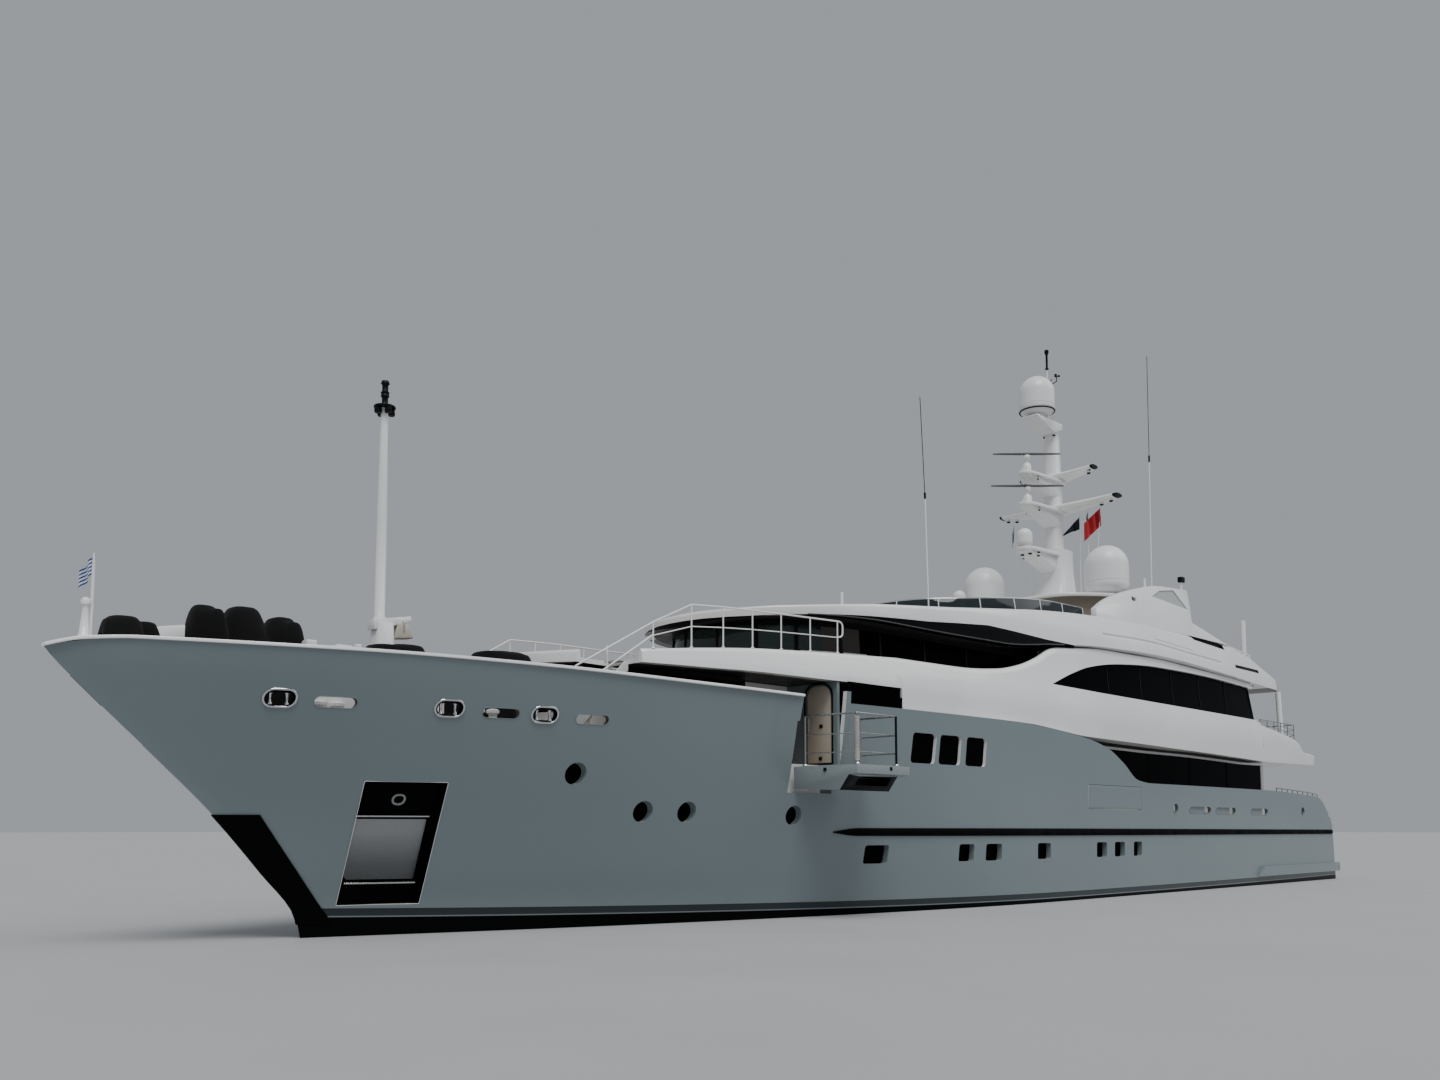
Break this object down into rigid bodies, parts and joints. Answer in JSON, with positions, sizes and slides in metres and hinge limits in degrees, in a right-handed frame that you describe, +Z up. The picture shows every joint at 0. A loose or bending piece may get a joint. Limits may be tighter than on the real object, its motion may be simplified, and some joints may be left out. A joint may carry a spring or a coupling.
{
  "type": "half-scale motor yacht",
  "caption": "Three-deck displacement motor yacht with raked bow, arched saloon windows, mast with radomes, twin propellers, rudders and fold-out boarding doors, at half size.",
  "frame": {"origin": "on the centreline at the waterline, midway along the boat's length overall", "axes": "+X to the bow, +Y to port, +Z up"},
  "size_m": [27, 6, 12.3],
  "materials": {
    "hull_paint": "gloss pale grey-blue yacht paint",
    "white_paint": "gloss white yacht paint",
    "black_rubber": "satin black rubbing strake",
    "dark_glass": "black privacy glass",
    "clear_glass": "tinted toughened glass",
    "steel": "polished stainless steel",
    "bronze": "cast propeller bronze",
    "radome_plastic": "white moulded plastic",
    "cover_cloth": "matt black acrylic canvas",
    "door_panel": "satin beige paint"
  },
  "bodies": {
    "yacht": {"hull": "hull_paint", "bow_bulwark": "hull_paint", "topside_port": "hull_paint", "topside_stbd": "hull_paint", "swim_platform": "hull_paint", "bow_cap_rail": "white_paint", "side_platform_port": "white_paint", "side_platform_stbd": "white_paint", "main_house": "white_paint", "fore_house": "white_paint", "fore_stair_port": "white_paint", "fore_stair_stbd": "white_paint", "saloon_aft_wall": "white_paint", "wheelhouse": "white_paint", "upper_deck": "white_paint", "sun_deck": "white_paint", "arch": "white_paint", "mast": "white_paint", "foremast": "white_paint", "jackstaff": "white_paint", "upper_aft_rail": "white_paint", "sun_aft_rail": "white_paint", "rub_rail_port": "black_rubber", "rub_rail_stbd": "black_rubber", "stem_guard": "black_rubber", "side_glass_port": "dark_glass", "side_glass_stbd": "dark_glass", "main_house_glass": "dark_glass", "fore_house_glass": "dark_glass", "saloon_glass": "dark_glass", "sun_windscreen": "dark_glass", "wheelhouse_glass": "clear_glass", "anchor_pocket_plate_port": "steel", "anchor_pocket_plate_stbd": "steel", "wing_rail_port": "steel", "wing_rail_stbd": "steel", "shaft_port": "steel", "shaft_stbd": "steel", "radome_port": "radome_plastic", "radome_stbd": "radome_plastic", "radome_top": "radome_plastic", "cover_bow": "cover_cloth", "cover_windlass": "cover_cloth", "cover_capstan_port": "cover_cloth", "cover_capstan_stbd": "cover_cloth", "cover_bench_port": "cover_cloth", "cover_bench_stbd": "cover_cloth"},
    "propeller_port": {"propeller_port": "bronze"},
    "propeller_stbd": {"propeller_stbd": "bronze"},
    "rudder_port": {"rudder_port": "hull_paint"},
    "rudder_stbd": {"rudder_stbd": "hull_paint"},
    "fin_port": {"fin_port": "hull_paint"},
    "fin_stbd": {"fin_stbd": "hull_paint"},
    "radar_lower": {"radar_lower": "radome_plastic"},
    "radar_upper": {"radar_upper": "radome_plastic"},
    "side_door_port": {"side_door_port": "hull_paint"},
    "side_door_stbd": {"side_door_stbd": "hull_paint"},
    "stern_door": {"stern_door": "hull_paint"},
    "lobby_door_port": {"lobby_door_port": "door_panel"},
    "lobby_door_stbd": {"lobby_door_stbd": "door_panel"}
  },
  "joints": [
    {"name": "propeller_spin_port", "type": "hinge", "parent": "yacht", "child": "propeller_port", "pos_m": [-10.61, 0.95, -0.99], "axis": [1, 0, 0], "continuous": true},
    {"name": "rudder_turn_port", "type": "hinge", "parent": "yacht", "child": "rudder_port", "pos_m": [-11.375, 0.95, -0.5], "axis": [0, 0, 1], "range_deg": [-35, 35]},
    {"name": "fin_tilt_port", "type": "hinge", "parent": "yacht", "child": "fin_port", "pos_m": [-0.15, 1.625, -1], "axis": [0, 0.6, -0.8], "range_deg": [-20, 20]},
    {"name": "side_door_fold_port", "type": "hinge", "parent": "yacht", "child": "side_door_port", "pos_m": [-2.375, 2.3292, 1.515], "axis": [-1, 0, 0], "range_deg": [0, 90]},
    {"name": "lobby_door_swing_port", "type": "hinge", "parent": "yacht", "child": "lobby_door_port", "pos_m": [4.9625, 1.2125, 2.5], "axis": [0, 0, -1], "range_deg": [0, 90]},
    {"name": "propeller_spin_stbd", "type": "hinge", "parent": "yacht", "child": "propeller_stbd", "pos_m": [-10.61, -0.95, -0.99], "axis": [1, 0, 0], "continuous": true},
    {"name": "rudder_turn_stbd", "type": "hinge", "parent": "yacht", "child": "rudder_stbd", "pos_m": [-11.375, -0.95, -0.5], "axis": [0, 0, 1], "range_deg": [-35, 35]},
    {"name": "fin_tilt_stbd", "type": "hinge", "parent": "yacht", "child": "fin_stbd", "pos_m": [-0.15, -1.625, -1], "axis": [0, -0.6, -0.8], "range_deg": [-20, 20]},
    {"name": "side_door_fold_stbd", "type": "hinge", "parent": "yacht", "child": "side_door_stbd", "pos_m": [-2.375, -2.3292, 1.515], "axis": [1, 0, 0], "range_deg": [0, 90]},
    {"name": "lobby_door_swing_stbd", "type": "hinge", "parent": "yacht", "child": "lobby_door_stbd", "pos_m": [4.9625, -1.2125, 2.5], "axis": [0, 0, 1], "range_deg": [0, 90]},
    {"name": "stern_door_lift", "type": "hinge", "parent": "yacht", "child": "stern_door", "pos_m": [-12.78121, 0, 1.18], "axis": [0, 1, 0], "range_deg": [0, 75]},
    {"name": "radar_spin_lower", "type": "hinge", "parent": "yacht", "child": "radar_lower", "pos_m": [-3.72, 0, 7.82], "axis": [0, 0, 1], "continuous": true},
    {"name": "radar_spin_upper", "type": "hinge", "parent": "yacht", "child": "radar_upper", "pos_m": [-3.72, 0, 8.46], "axis": [0, 0, 1], "continuous": true}
  ],
  "couplings": [
    {"joint": "rudder_turn_stbd", "follows": "rudder_turn_port", "ratio": 1}
  ]
}
